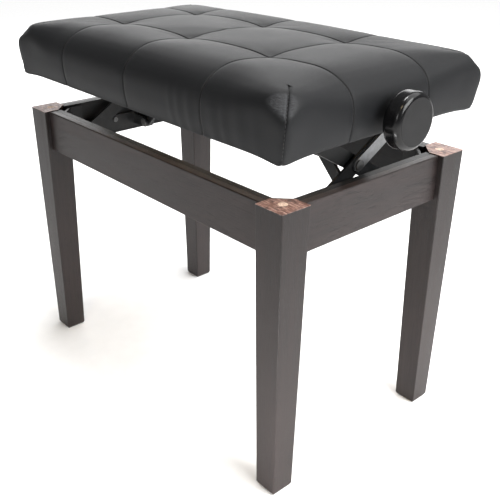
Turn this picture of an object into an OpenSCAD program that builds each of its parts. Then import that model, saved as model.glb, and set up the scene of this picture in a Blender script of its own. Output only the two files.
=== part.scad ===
// Height-adjustable piano bench: a four-legged wooden frame carries a padded seat on two end scissors.
// A knob on the right end turns a left- and right-hand screw, whose nuts pull two struts and lift the seat.
// +X is the bench's length, with the knob at its +X end, -Y is the front and +Z is up. The floor is z = 0.

/* [Frame] */
// Length over the legs
frame_length = 550; // [540:1:560]
// Width over the legs
frame_width = 322; // [318:1:330]
// Height of the legs
leg_height = 385; // [380:1:395]
// Side of a leg's square top
leg_top_side = 42; // [40:0.5:44]
// Side of a leg's square foot
leg_foot_side = 32; // [28:0.5:36]
// How far a leg's two outer faces lean in at the foot
leg_outer_lean = 3; // [0:0.5:4]
// Radius of a leg's long edges
leg_edge_radius = 1.2; // [0.5:0.1:2]
// Width of the chamfer on a leg's inner corner behind the aprons, along each face
leg_chamfer = 20; // [14:1:22]
// Height of the aprons
apron_height = 60; // [56:1:64]
// Thickness of an apron's outer board
apron_board = 10; // [8:0.5:12]
// Thickness of the liner behind each apron board
apron_liner = 9; // [7:0.5:9]
// How far the aprons stand back from the legs' outer faces
apron_setback = 8; // [6:0.5:9]

/* [Seat] */
// Length of the seat at its lower rim
seat_length = 550; // [546:1:556]
// Width of the seat at its lower rim
seat_width = 330; // [326:1:336]
// How far the padded sides swell out beyond the rim
seat_swell = 6; // [4:0.5:8]
// Height of the whole seat, from its rim to the crown
seat_height = 84; // [80:1:90]
// Radius of the seat's upper edges
seat_edge_radius = 26; // [16:1:28]
// Thickness of the seat's cover
cover_thickness = 2; // [1.5:0.5:3]

/* [Lift] */
// Length of each scissor arm and strut, from pivot to pivot
arm_length = 200; // [196:1:204]
// Angle of the arms above the horizontal at the resting height
rest_angle = 30; // [29:0.5:31]
// How far the seat rises and sinks from the resting height
lift_travel = 46; // [30:1:46]
// Height of the frame's pivots above the floor
pivot_height = 342; // [341:0.5:343]
// Width of an arm
arm_width = 20; // [18:0.5:20]
// Thickness of the arms and brackets
plate = 3; // [2.5:0.1:3]
// Radius of the pins
pin_radius = 4; // [3.5:0.1:4]

/* [Knob] */
// Diameter of the knob
knob_diameter = 66; // [60:1:70]
// Depth of the knob, without its boss
knob_depth = 24; // [18:1:28]
// Radius of the knob's rounded rim
knob_edge_radius = 7.5; // [4:0.5:9]
// Radius of the lift screw
screw_radius = 6; // [5:0.1:6]
// Pitch of the lift screw
screw_pitch = 4; // [3:0.5:5]

/* [Hidden] */
$fn = 64;

wood = "#2b2021";
liner_black = "#1d1b1c";
steel_black = "#2d2e30";
steel_grey = "#77797b";
zinc = "#a9abac";
leather_black = "#26282a";
plywood = "#b08d62";
foam_yellow = "#d9c27a";
gloss_black = "#111213";
matte_grey = "#55575a";

eps = 0.01;            // overlap of a cutter past the face that it cuts
running = 0.05;        // radial clearance of a pin that turns
loose = 0.3;           // clearance of the open pivots, slots and pin heads

// Frame
leg_x = frame_length / 2;
leg_y = frame_width / 2;
apron_top = leg_height - 1;
apron_bottom = apron_top - apron_height;
apron_out_x = leg_x - apron_setback;
apron_out_y = leg_y - apron_setback;
apron_mid_x = apron_out_x - apron_board;
apron_mid_y = apron_out_y - apron_board;
apron_in_x = apron_mid_x - apron_liner;
apron_in_y = apron_mid_y - apron_liner;
apron_round = 1.5;
liner_gap = 0.4;       // glue line between a liner and its apron board
foot_chamfer = 1.5;
plug_radius = 5.5;
plug_depth = 7;

// Corner brackets: a plate across each inner corner, bolted into the leg's chamfer
chamfer_low = apron_bottom + 6;
bracket_low = 357;
bracket_high = 381;
bracket_gap = 8;
bracket_sheet = 2.5;
bracket_tab = 22;
bolt_radius = 3;
chamfer_sum = leg_x + leg_y - 2 * leg_top_side + leg_chamfer;
diagonal_sum = chamfer_sum - bracket_gap * sqrt(2);
bolt_inside = 30;
bolt_end = 11;
nut_thick = 5;
nut_radius = 5.8;

// Scissor planes on the right-hand side, from the end apron inwards
arm_setback = 15;      // from the end apron's inner face to the outer arm
plane_step = 7;        // from one moving plate to the next
strut_setback = 3;     // from the seat bracket to the strut's hinge
base_plate_x = apron_in_x - plate;
outer_arm_x = apron_in_x - arm_setback;
doubler_x = outer_arm_x + plate;
inner_arm_x = outer_arm_x - plane_step;
seat_plate_x = inner_arm_x - plane_step;
strut_pivot_x = seat_plate_x - strut_setback;

// Scissor geometry
rise = arm_length * sin(rest_angle);
span = arm_length * cos(rest_angle);
fixed_y = -span / 2;
slide_y = span / 2;
low_angle = asin((rise - lift_travel) / arm_length);
high_angle = asin((rise + lift_travel) / arm_length);
slot_near_y = fixed_y + arm_length * cos(high_angle);
slot_far_y = fixed_y + arm_length * cos(low_angle);
seat_pivot_z = pivot_height + rise;
centre_z = pivot_height + rise / 2;
slot_radius = pin_radius + loose;
doubler_width = arm_width - 4;
head_radius = 6.5;
head = 2;
bracket_half = 12;     // half height of the brackets, and their metal past the slot's end
pivot_margin = 17;     // metal past the fixed pivot
plate_front_y = fixed_y - pivot_margin;
plate_back_y = slot_far_y + bracket_half;
base_plate_low = pivot_height - bracket_half;
base_plate_high = pivot_height + bracket_half;
bracket_corner = 5;
pan_head = 2.2;
pan_radius = 4;
pan_slot = 1;
base_screw_places = [-62, -32, 36];
base_screw_rise = 5;

// Struts, nuts and screw
screw_rise = 18;       // from the seat's pivots up to the screw
screw_z = seat_pivot_z + screw_rise;
strut_y = 8.5;
strut_thick = 5;
strut_width = 16;
strut_angle = 46;
strut_knee = 100;
nut_x = strut_pivot_x - span;
nut_half = 10;
nut_half_y = 8;
nut_low = seat_pivot_z - nut_half_y;
nut_high = screw_z + nut_half;
ear_gap = 0.8;
ear_thick = 3;
collar_thick = 3;
collar_radius = 10;
bearing_half = 8;
bearing_half_y = 16;
bearing_under = 12;
thread_depth = 0.9;
thread_from = 16;
thread_to = 96;

// Seat
rim_z = seat_pivot_z - 1;
crown_z = rim_z + seat_height;
cover_x = seat_length / 2 + seat_swell;
cover_y = seat_width / 2 + seat_swell;
rail_setback = 3;      // from the rim to the rails' outer faces
rail_lift = 2;         // from the rim to the rails' lower edges
rail_out_x = seat_length / 2 - rail_setback;
rail_out_y = seat_width / 2 - rail_setback;
rail_thick = 15;
rail_height = 28;
rail_low = rim_z + rail_lift;
board_low = rail_low + rail_height;
board_thick = 12;
board_high = board_low + board_thick;
seat_flange = 22;
rod_hole_radius = screw_radius + 2;
corner_round = 8;      // radius of the padding's upright corners
seat_screw_radius = 2.5;
seat_screw_head = 4.5;
seat_screw_short = 2;  // board left above a seat screw's point

// Knob
knob_boss = 6;
knob_boss_radius = 12;
knob_gap = 2;          // from the cover to the knob's boss
knob_back_x = cover_x + knob_gap + knob_boss;
knob_face_x = knob_back_x + knob_depth;
knob_radius = knob_diameter / 2;
cap_overlap = 1.5;     // how far the cap runs on to the rolled rim
cap_radius = knob_radius - knob_edge_radius + cap_overlap;
cap_thick = 0.8;
shaft_in_knob = 15;

// The origin is on the floor under the centre of the whole bench, knob included
origin_x = -(knob_face_x - cover_x) / 2;

// Places its children on the model's origin
module placed() translate([origin_x, 0, 0]) children();

// Mirrors its children, made for the right-hand back quarter, into another quarter
module quarter(sx, sy) mirror([sx < 0 ? 1 : 0, 0, 0]) mirror([0, sy < 0 ? 1 : 0, 0]) children();

// Repeats its children in all four quarters
module all_quarters() for (sx = [-1, 1], sy = [-1, 1]) quarter(sx, sy) children();

// Repeats its children, made for the right-hand end, at both ends
module both_ends() for (sx = [-1, 1]) quarter(sx, 1) children();

// Stands a flat outline in the Y-Z plane at x, its thickness towards +X
module upright_yz(x, thickness) {
    translate([x, 0, 0]) rotate([90, 0, 90]) linear_extrude(thickness) children();
}

// Stands a flat outline in the X-Z plane at y, its thickness towards +Y
module upright_xz(y, thickness) {
    translate([0, y + thickness, 0]) rotate([90, 0, 0]) linear_extrude(thickness) children();
}

// Cylinder along X from x0 to x1
module rod_x(x0, x1, y, z, r) translate([x0, y, z]) rotate([0, 90, 0]) cylinder(h = x1 - x0, r = r);

// Cylinder along Y from y0 to y1
module rod_y(x, y0, y1, z, r) translate([x, y0, z]) rotate([-90, 0, 0]) cylinder(h = y1 - y0, r = r);

// Rectangle with round corners, centred
module round_rectangle(length, width, radius) {
    square([length - 2 * radius, width], center = true);
    square([length, width - 2 * radius], center = true);
    for (sx = [-1, 1], sy = [-1, 1])
        translate([sx * (length / 2 - radius), sy * (width / 2 - radius)]) circle(radius);
}

// Flat link with round ends, from the 2-D origin along +X
module link_outline(length, width) {
    translate([0, -width / 2]) square([length, width]);
    circle(width / 2);
    translate([length, 0]) circle(width / 2);
}

// Round slot between two points on a level line
module slot_outline(from, to, level, radius) {
    translate([from, level]) link_outline(to - from, 2 * radius);
}

// ---------- Wooden frame ----------

// Cross-section of a leg at some height: inset is measured from the leg's outer top faces
module leg_section(z, side, inset, thickness = eps) {
    translate([leg_x - inset - side / 2, leg_y - inset - side / 2, z])
        linear_extrude(thickness) round_rectangle(side, side, leg_edge_radius);
}

// One leg, in the right-hand back quarter
module leg() {
    difference() {
        hull($fn = 32) {
            leg_section(0, leg_foot_side - 2 * foot_chamfer, leg_outer_lean + foot_chamfer);
            leg_section(2 * foot_chamfer, leg_foot_side, leg_outer_lean);
            leg_section(leg_height - eps, leg_top_side, 0);
        }
        leg_inner_chamfer();
        translate([leg_x - leg_top_side / 2, leg_y - leg_top_side / 2, leg_height - plug_depth])
            cylinder(h = plug_depth + 1, r = plug_radius);
        corner_bolt_line(bolt_radius + running, 0, bolt_inside + 1);
    }
}

// The block that a leg's inner chamfer removes: it stops behind the aprons, and the leg is square below
module leg_inner_chamfer() {
    translate([chamfer_sum / 2, chamfer_sum / 2, chamfer_low]) rotate([0, 0, 45])
        translate([-60, -200, 0]) cube([60, 400, leg_height - chamfer_low + 1]);
}

// Points on the corner's diagonal: distances are measured outwards from the leg's chamfer
module corner_diagonal(distance) {
    offset_y = (leg_x - leg_y) / 2;
    translate([
        chamfer_sum / 2 + offset_y + distance / sqrt(2),
        chamfer_sum / 2 - offset_y + distance / sqrt(2),
        (bracket_low + bracket_high) / 2
    ]) rotate([0, 0, 45]) rotate([0, 90, 0]) children();
}

// Cylinder along the corner's diagonal
module corner_bolt_line(r, from, to) corner_diagonal(from) cylinder(h = to - from, r = r);

module leg_front_left() color(wood) quarter(-1, -1) leg();
module leg_front_right() color(wood) quarter(1, -1) leg();
module leg_back_left() color(wood) quarter(-1, 1) leg();
module leg_back_right() color(wood) quarter(1, 1) leg();

// Round plugs in the legs' tops
module leg_plugs() {
    color("#b98a62") all_quarters()
        translate([leg_x - leg_top_side / 2, leg_y - leg_top_side / 2, leg_height - plug_depth])
            cylinder(h = plug_depth, r = plug_radius);
}

// Where the inner face of a leg is at some height, measured from the leg's outer top face
function leg_inner(z) =
    leg_top_side - (leg_top_side - leg_foot_side - leg_outer_lean) * (leg_height - z) / leg_height;

// Outline of a rail that fits between two legs whose outer faces are at +-half
module rail_outline(half) {
    low = half - leg_inner(apron_bottom);
    high = half - leg_inner(apron_top);
    polygon([[-low, apron_bottom], [low, apron_bottom], [high, apron_top], [-high, apron_top]]);
}

// Cross-section of an apron board, with its outer edges rounded
module apron_section() {
    translate([0, apron_bottom]) square([apron_board - apron_round, apron_height]);
    translate([0, apron_bottom + apron_round]) square([apron_board, apron_height - 2 * apron_round]);
    for (z = [apron_bottom + apron_round, apron_top - apron_round])
        translate([apron_board - apron_round, z]) circle(apron_round);
}

// Long apron at the back, along X
module long_apron() {
    intersection() {
        upright_xz(apron_mid_y, apron_board) rail_outline(leg_x);
        upright_yz(-leg_x, frame_length) translate([apron_mid_y, 0]) apron_section();
    }
}

// Short apron at the right-hand end, along Y
module short_apron() {
    intersection() {
        upright_yz(apron_mid_x, apron_board) rail_outline(leg_y);
        upright_xz(-leg_y, frame_width) translate([apron_mid_x, 0]) apron_section();
    }
}

module apron_front() color(wood) quarter(1, -1) long_apron();
module apron_back() color(wood) long_apron();
module apron_left() color(wood) quarter(-1, 1) short_apron();
module apron_right() color(wood) short_apron();

// Liner behind a long apron, trimmed to the legs
module long_liner() upright_xz(apron_in_y, apron_liner - liner_gap) rail_outline(leg_x);

// Liner behind a short apron, trimmed to the legs
module short_liner() upright_yz(apron_in_x, apron_liner - liner_gap) rail_outline(leg_y);

module liner_front() color(liner_black) quarter(1, -1) long_liner();
module liner_back() color(liner_black) long_liner();
module liner_left() color(liner_black) quarter(-1, 1) short_liner();
module liner_right() color(liner_black) short_liner();

// Folded steel plates across the inner corners
module corner_brackets() {
    color(steel_black) all_quarters() difference() {
        translate([0, 0, bracket_low]) linear_extrude(bracket_high - bracket_low) corner_outline();
        corner_bolt_line(bolt_radius + loose, -bracket_gap - 2 * bracket_sheet, 0);
    }
}

// Outline of a corner plate: two tabs on the liners, joined by a diagonal
module corner_outline() {
    tab_y = diagonal_sum - apron_in_x;
    tab_x = diagonal_sum - apron_in_y;
    translate([apron_in_x - bracket_sheet, tab_y - bracket_tab]) square([bracket_sheet, bracket_tab]);
    translate([tab_x - bracket_tab, apron_in_y - bracket_sheet]) square([bracket_tab, bracket_sheet]);
    polygon([
        [apron_in_x, tab_y], [tab_x, apron_in_y],
        [tab_x - bracket_sheet, apron_in_y], [tab_x - bracket_sheet, apron_in_y - bracket_sheet],
        [apron_in_x - bracket_sheet, tab_y - bracket_sheet], [apron_in_x, tab_y - bracket_sheet]
    ]);
}

// Hanger bolts from the corner plates into the legs
module corner_bolts() {
    color(zinc) all_quarters() corner_bolt_line(bolt_radius, -bracket_gap - bolt_end, bolt_inside);
}

// Hexagon nuts that pull the legs against the corner plates
module corner_nuts() {
    color(zinc) all_quarters() difference() {
        corner_diagonal(-bracket_gap - bracket_sheet * sqrt(2) - nut_thick)
            cylinder(h = nut_thick, r = nut_radius, $fn = 6);
        corner_bolt_line(bolt_radius + running, -bracket_gap - bolt_end, 0);
    }
}

// ---------- Brackets on the frame ----------

// Plate with the fixed pivot, the slot for the sliding pin and the ears of the strut's hinge
module base_bracket() {
    difference() {
        union() {
            upright_yz(base_plate_x, plate) translate([
                (plate_front_y + plate_back_y) / 2, (base_plate_low + base_plate_high) / 2
            ]) round_rectangle(plate_back_y - plate_front_y, 2 * bracket_half, bracket_corner);
            for (y = [strut_y - ear_gap - ear_thick, strut_y + strut_thick + ear_gap])
                upright_xz(y, ear_thick) translate([strut_pivot_x, pivot_height])
                    ear_outline(base_plate_x - strut_pivot_x);
        }
        rod_x(base_plate_x - 1, apron_in_x + 1, fixed_y, pivot_height, pin_radius + running);
        upright_yz(base_plate_x - 1, plate + 2)
            slot_outline(slot_near_y, slot_far_y, pivot_height, slot_radius);
        rod_y(strut_pivot_x, 0, 2 * strut_width, pivot_height, pin_radius + running);
    }
}

// Outline of an ear: a round nose on a straight arm
module ear_outline(length) {
    circle(strut_width / 2);
    translate([0, -strut_width / 2]) square([length, strut_width]);
}

module base_bracket_left() color(steel_black) quarter(-1, 1) base_bracket();
module base_bracket_right() color(steel_black) base_bracket();

// Pan-head screws that hold the frame brackets
module base_screws() {
    color(zinc) both_ends() for (y = base_screw_places)
        pan_screw(base_plate_x, y, pivot_height + base_screw_rise);
}

// Screw head on a bracket's inner face, in the right-hand end
module pan_screw(x, y, z) {
    difference() {
        rod_x(x - pan_head, x, y, z, pan_radius);
        for (turn = [0, 90])
            translate([x - pan_head - pan_slot / 2, y, z]) rotate([turn, 0, 0])
                cube([2 * pan_slot, 1.5 * pan_radius, pan_slot], center = true);
    }
}

// Shouldered pins on which the outer arms turn
module base_pivot_pins() {
    color(zinc) both_ends() {
        rod_x(outer_arm_x - loose - head, outer_arm_x - loose, fixed_y, pivot_height, head_radius);
        rod_x(outer_arm_x - loose, apron_in_x, fixed_y, pivot_height, pin_radius);
        rod_x(doubler_x + loose, base_plate_x, fixed_y, pivot_height, head_radius);
    }
}

// Pins of the struts' lower hinges
module strut_pins() {
    low_y = strut_y - ear_gap - ear_thick;
    high_y = strut_y + strut_thick + ear_gap + ear_thick;
    color(zinc) both_ends() {
        rod_y(strut_pivot_x, low_y, high_y, pivot_height, pin_radius);
        rod_y(strut_pivot_x, low_y - head, low_y, pivot_height, head_radius);
        rod_y(strut_pivot_x, high_y, high_y + head, pivot_height, head_radius);
    }
}

// ---------- Scissor arms ----------

// Arm in the Y-Z plane at x, from a pivot at (y, z), leaning at an angle
module arm(x, y, z, angle) {
    difference() {
        upright_yz(x, plate) translate([y, z]) rotate(angle) link_outline(arm_length, arm_width);
        upright_yz(x - 1, plate + 2) translate([y, z]) rotate(angle)
            for (along = [0, arm_length / 2, arm_length])
                translate([along, 0]) circle(pin_radius + running);
    }
}

module outer_arm() arm(outer_arm_x, fixed_y, pivot_height, rest_angle);
module inner_arm() arm(inner_arm_x, fixed_y, seat_pivot_z, -rest_angle);

module outer_arm_left() color(steel_black) quarter(-1, 1) outer_arm();
module outer_arm_right() color(steel_black) outer_arm();
module inner_arm_left() color(steel_black) quarter(-1, 1) inner_arm();
module inner_arm_right() color(steel_black) inner_arm();

// Strip that stiffens the upper half of an outer arm, from the centre pin to the sliding pin
module arm_doubler() {
    upright_yz(doubler_x, plate) translate([0, centre_z]) rotate(rest_angle) difference() {
        link_outline(arm_length / 2, doubler_width);
        for (along = [0, arm_length / 2]) translate([along, 0]) circle(pin_radius + running);
    }
}

module arm_doubler_left() color(steel_grey) quarter(-1, 1) arm_doubler();
module arm_doubler_right() color(steel_grey) arm_doubler();

// Pin through both arms, fixed in the outer arm, with a spacer between the arms
module centre_pin() {
    rod_x(inner_arm_x - loose, doubler_x + plate + head, 0, centre_z, pin_radius);
    rod_x(inner_arm_x - loose - head, inner_arm_x - loose, 0, centre_z, head_radius);
    rod_x(inner_arm_x + plate + loose, outer_arm_x, 0, centre_z, head_radius);
    rod_x(doubler_x + plate, doubler_x + plate + head, 0, centre_z, head_radius);
}

module centre_pin_left() color(zinc) quarter(-1, 1) centre_pin();
module centre_pin_right() color(zinc) centre_pin();

// Pin at the outer arm's upper end, which slides in the seat bracket's slot
module upper_slide_pin() {
    rod_x(seat_plate_x - loose, doubler_x + plate + head, slide_y, seat_pivot_z, pin_radius);
    rod_x(seat_plate_x - loose - head, seat_plate_x - loose, slide_y, seat_pivot_z, head_radius);
    rod_x(seat_plate_x + plate + loose, outer_arm_x, slide_y, seat_pivot_z, head_radius);
    rod_x(doubler_x + plate, doubler_x + plate + head, slide_y, seat_pivot_z, head_radius);
}

module upper_slide_pin_left() color(zinc) quarter(-1, 1) upper_slide_pin();
module upper_slide_pin_right() color(zinc) upper_slide_pin();

// Pin at the inner arm's lower end, which slides in the frame bracket's slot
module lower_slide_pin() {
    rod_x(inner_arm_x - head, inner_arm_x, slide_y, pivot_height, head_radius);
    rod_x(inner_arm_x, apron_in_x - 0.5, slide_y, pivot_height, pin_radius);
    rod_x(inner_arm_x + plate, base_plate_x - loose, slide_y, pivot_height, head_radius);
}

module lower_slide_pin_left() color(zinc) quarter(-1, 1) lower_slide_pin();
module lower_slide_pin_right() color(zinc) lower_slide_pin();

// ---------- Struts, nuts and screw ----------

// Cranked strut from the frame bracket to the nut, at the right-hand end
module strut() {
    knee_x = strut_pivot_x - strut_knee * cos(strut_angle);
    knee_z = pivot_height + strut_knee * sin(strut_angle);
    upper = sqrt(pow(knee_x - nut_x, 2) + pow(seat_pivot_z - knee_z, 2));
    difference() {
        upright_xz(strut_y, strut_thick) {
            translate([strut_pivot_x, pivot_height]) rotate(180 - strut_angle)
                link_outline(strut_knee, strut_width);
            translate([nut_x, seat_pivot_z]) rotate(-asin((seat_pivot_z - knee_z) / upper))
                link_outline(upper, strut_width);
        }
        rod_y(strut_pivot_x, strut_y - 1, strut_y + strut_thick + 1, pivot_height, pin_radius + running);
        rod_y(nut_x, strut_y - 1, strut_y + strut_thick + 1, seat_pivot_z, pin_radius + running);
    }
}

module strut_left() color(steel_black) quarter(-1, 1) strut();
module strut_right() color(steel_black) strut();

// Square nut block on the screw
module nut() {
    difference() {
        upright_xz(-nut_half_y, 2 * nut_half_y) translate([nut_x, (nut_low + nut_high) / 2])
            round_rectangle(2 * nut_half, nut_high - nut_low, 3);
        rod_x(nut_x - nut_half - 1, nut_x + nut_half + 1, 0, screw_z, screw_radius + running);
        rod_y(nut_x, 2, nut_half_y + 1, seat_pivot_z, pin_radius);
    }
}

module nut_left() color(steel_grey) quarter(-1, 1) nut();
module nut_right() color(steel_grey) nut();

// Headed pin that is fixed in a nut block and carries the strut's upper end
module nut_pin() {
    rod_y(nut_x, 2, strut_y + strut_thick + loose, seat_pivot_z, pin_radius);
    translate([0, strut_y + strut_thick + loose, 0]) rod_y(nut_x, 0, head, seat_pivot_z, head_radius);
}

module nut_pin_left() color(zinc) quarter(-1, 1) nut_pin();
module nut_pin_right() color(zinc) nut_pin();

// Outline of the threads between two distances from the screw's middle
module thread_outline() {
    turns = floor((thread_to - thread_from) / screw_pitch);
    root = screw_radius - thread_depth;
    polygon(concat(
        [[0, thread_from], [root, thread_from]],
        [for (i = [0 : turns - 1]) each [
            [root, thread_from + (i + 0.10) * screw_pitch],
            [screw_radius, thread_from + (i + 0.30) * screw_pitch],
            [screw_radius, thread_from + (i + 0.65) * screw_pitch],
            [root, thread_from + (i + 0.85) * screw_pitch]
        ]],
        [[root, thread_to], [0, thread_to]]
    ));
}

// Screw with a right-hand and a left-hand thread, and the plain shaft out to the knob
module lift_screw() {
    color(zinc) {
        rod_x(-seat_plate_x - plate - 4, -thread_to, 0, screw_z, screw_radius);
        rod_x(-thread_from, thread_from, 0, screw_z, screw_radius);
        rod_x(thread_to, knob_back_x + shaft_in_knob, 0, screw_z, screw_radius);
        for (turn = [90, -90])
            translate([0, 0, screw_z]) rotate([0, turn, 0]) rotate_extrude() thread_outline();
    }
}

// Collars that hold the screw lengthwise between the seat brackets
module screw_collars() {
    collar_x = seat_plate_x + plate + loose;
    color(steel_grey) both_ends() difference() {
        rod_x(collar_x, collar_x + collar_thick, 0, screw_z, collar_radius);
        rod_x(collar_x - 1, collar_x + collar_thick + 1, 0, screw_z, screw_radius);
    }
}

// Half section of the knob, its axis along +Y and its back at 0, with the boss behind it
module knob_outline() {
    translate([0, -knob_boss]) square([knob_boss_radius, knob_boss + eps]);
    square([knob_radius - knob_edge_radius, knob_depth]);
    translate([0, knob_edge_radius]) square([knob_radius, knob_depth - 2 * knob_edge_radius]);
    for (z = [knob_edge_radius, knob_depth - knob_edge_radius])
        translate([knob_radius - knob_edge_radius, z]) circle(knob_edge_radius);
}

// Round knob with a rolled rim and a shallow seat for the cap
module knob() {
    color(gloss_black) difference() {
        translate([knob_back_x, 0, screw_z]) rotate([0, 90, 0]) rotate_extrude($fn = 96) knob_outline();
        rod_x(knob_back_x - knob_boss - 1, knob_back_x + shaft_in_knob, 0, screw_z, screw_radius);
        rod_x(knob_face_x - cap_thick, knob_face_x + 1, 0, screw_z, cap_radius);
    }
}

// Matte disc in the knob's face
module knob_cap() {
    color(matte_grey) rod_x(knob_face_x - cap_thick, knob_face_x, 0, screw_z, cap_radius);
}

// ---------- Seat ----------

// Angle plate under the seat board, with a pivot, a slot and the screw's bearing hole
module seat_bracket() {
    middle_y = (plate_front_y + plate_back_y) / 2;
    length_y = plate_back_y - plate_front_y;
    difference() {
        union() {
            translate([seat_plate_x, plate_front_y, seat_pivot_z - bracket_half])
                cube([plate, length_y, board_low - seat_pivot_z + bracket_half]);
            translate([seat_plate_x - seat_flange, plate_front_y, board_low - plate])
                cube([seat_flange + eps, length_y, plate]);
        }
        rod_x(seat_plate_x - 1, seat_plate_x + plate + 1, fixed_y, seat_pivot_z, pin_radius + running);
        rod_x(seat_plate_x - 1, seat_plate_x + plate + 1, 0, screw_z, screw_radius + running);
        upright_yz(seat_plate_x - 1, plate + 2)
            slot_outline(slot_near_y, slot_far_y, seat_pivot_z, slot_radius);
        for (y = seat_screw_places())
            translate([seat_plate_x - seat_flange / 2, y + middle_y, board_low - plate - 1])
                cylinder(h = plate + 2, r = seat_screw_radius + running);
    }
}

// Distances of a seat bracket's screws from its middle
function seat_screw_places() = [-90, -30, 30, 90];

module seat_bracket_left() color(steel_black) quarter(-1, 1) seat_bracket();
module seat_bracket_right() color(steel_black) seat_bracket();

// Screws from the brackets' flanges up into the seat board
module seat_screws() {
    middle_y = (plate_front_y + plate_back_y) / 2;
    color(zinc) both_ends() for (y = seat_screw_places())
        translate([seat_plate_x - seat_flange / 2, y + middle_y, board_low - plate]) {
            cylinder(h = plate + board_thick - seat_screw_short, r = seat_screw_radius);
            translate([0, 0, -pan_head]) cylinder(h = pan_head, r = seat_screw_head);
        }
}

// Pins on which the inner arms carry the seat
module seat_pivot_pins() {
    color(zinc) both_ends() {
        rod_x(seat_plate_x - head, seat_plate_x, fixed_y, seat_pivot_z, head_radius);
        rod_x(seat_plate_x, inner_arm_x + plate + loose, fixed_y, seat_pivot_z, pin_radius);
        rod_x(seat_plate_x + plate, inner_arm_x - loose, fixed_y, seat_pivot_z, head_radius);
        translate([inner_arm_x + plate + loose, 0, 0]) rod_x(0, head, fixed_y, seat_pivot_z, head_radius);
    }
}

// Rail under the seat board along its back edge
module long_rail() {
    translate([-rail_out_x, rail_out_y - rail_thick, rail_low])
        cube([2 * rail_out_x, rail_thick, board_low - rail_low]);
}

// Rail under the seat board at its right-hand end, between the long rails
module short_rail() {
    half = rail_out_y - rail_thick;
    translate([rail_out_x - rail_thick, -half, rail_low])
        cube([rail_thick, 2 * half, board_low - rail_low]);
}

module seat_rail_front() color(plywood) quarter(1, -1) long_rail();
module seat_rail_back() color(plywood) long_rail();
module seat_rail_left() color(plywood) quarter(-1, 1) short_rail();

// The right-hand rail lets the knob's shaft through
module seat_rail_right() {
    color(plywood) difference() {
        short_rail();
        rod_x(rail_out_x - rail_thick - 1, rail_out_x + 1, 0, screw_z, rod_hole_radius);
    }
}

// Plywood board under the padding, drilled for the bracket screws
module seat_board() {
    middle_y = (plate_front_y + plate_back_y) / 2;
    color(plywood) difference() {
        translate([-rail_out_x, -rail_out_y, board_low])
            cube([2 * rail_out_x, 2 * rail_out_y, board_thick]);
        both_ends() for (y = seat_screw_places())
            translate([seat_plate_x - seat_flange / 2, y + middle_y, board_low - 1])
                cylinder(h = board_thick - seat_screw_short + 1, r = seat_screw_radius);
    }
}

// Hardwood block that steadies the middle of the screw
module screw_bearing() {
    color(plywood) difference() {
        translate([-bearing_half, -bearing_half_y, screw_z - bearing_under])
            cube([2 * bearing_half, 2 * bearing_half_y, board_low - screw_z + bearing_under]);
        rod_x(-bearing_half - 1, bearing_half + 1, 0, screw_z, screw_radius + running);
    }
}

// Padded block of a given half length and half width, its upper edges rounded, from the rim to its crown
module pad_block(half_x, half_y, low, high, radius) {
    intersection() {
        translate([0, 0, low]) linear_extrude(high - low)
            round_rectangle(2 * half_x, 2 * half_y, corner_round);
        upright_xz(-half_y, 2 * half_y) arched_outline(half_x, low, high, radius);
        upright_yz(-half_x, 2 * half_x) arched_outline(half_y, low, high, radius);
    }
}

// Upright rectangle with its two upper corners rounded
module arched_outline(half, low, high, radius) {
    translate([-half, low]) square([2 * half, high - low - radius]);
    translate([-half + radius, low]) square([2 * (half - radius), high - low]);
    for (s = [-1, 1]) translate([s * (half - radius), high - radius]) circle(radius);
}

// Foam on top of the seat board
module seat_foam() {
    color(foam_yellow) pad_block(
        cover_x - cover_thickness, cover_y - cover_thickness, board_high, crown_z - cover_thickness,
        seat_edge_radius - cover_thickness);
}

// Strips of foam on the outsides of the rails and the board
module side_padding() {
    low = rail_low;
    inner_x = cover_x - cover_thickness;
    inner_y = cover_y - cover_thickness;
    color(foam_yellow) for (s = [-1, 1]) {
        translate([-inner_x + corner_round, s > 0 ? rail_out_y : -inner_y, low])
            cube([2 * (inner_x - corner_round), inner_y - rail_out_y, board_high - low]);
        difference() {
            translate([s > 0 ? rail_out_x : -inner_x, -rail_out_y, low])
                cube([inner_x - rail_out_x, 2 * rail_out_y, board_high - low]);
            rod_x(rail_out_x - 1, inner_x + 1, 0, screw_z, rod_hole_radius);
        }
    }
}

// Leatherette cover, open underneath, with a hole for the knob's shaft
module seat_cover() {
    color(leather_black) difference() {
        pad_block(cover_x, cover_y, rim_z, crown_z, seat_edge_radius);
        pad_block(
            cover_x - cover_thickness, cover_y - cover_thickness, rim_z - 1, crown_z - cover_thickness,
            seat_edge_radius - cover_thickness);
        rod_x(cover_x - cover_thickness - 1, cover_x + 1, 0, screw_z, rod_hole_radius);
    }
}

placed() leg_front_left();
placed() leg_front_right();
placed() leg_back_left();
placed() leg_back_right();
placed() leg_plugs();
placed() apron_front();
placed() apron_back();
placed() apron_left();
placed() apron_right();
placed() liner_front();
placed() liner_back();
placed() liner_left();
placed() liner_right();
placed() corner_brackets();
placed() corner_bolts();
placed() corner_nuts();
placed() base_bracket_left();
placed() base_bracket_right();
placed() base_screws();
placed() base_pivot_pins();
placed() strut_pins();
placed() outer_arm_left();
placed() outer_arm_right();
placed() arm_doubler_left();
placed() arm_doubler_right();
placed() centre_pin_left();
placed() centre_pin_right();
placed() upper_slide_pin_left();
placed() upper_slide_pin_right();
placed() inner_arm_left();
placed() inner_arm_right();
placed() lower_slide_pin_left();
placed() lower_slide_pin_right();
placed() strut_left();
placed() strut_right();
placed() nut_left();
placed() nut_right();
placed() nut_pin_left();
placed() nut_pin_right();
placed() seat_bracket_left();
placed() seat_bracket_right();
placed() seat_screws();
placed() seat_pivot_pins();
placed() seat_rail_front();
placed() seat_rail_back();
placed() seat_rail_left();
placed() seat_rail_right();
placed() seat_board();
placed() screw_bearing();
placed() seat_foam();
placed() side_padding();
placed() seat_cover();
placed() lift_screw();
placed() screw_collars();
placed() knob();
placed() knob_cap();
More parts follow.
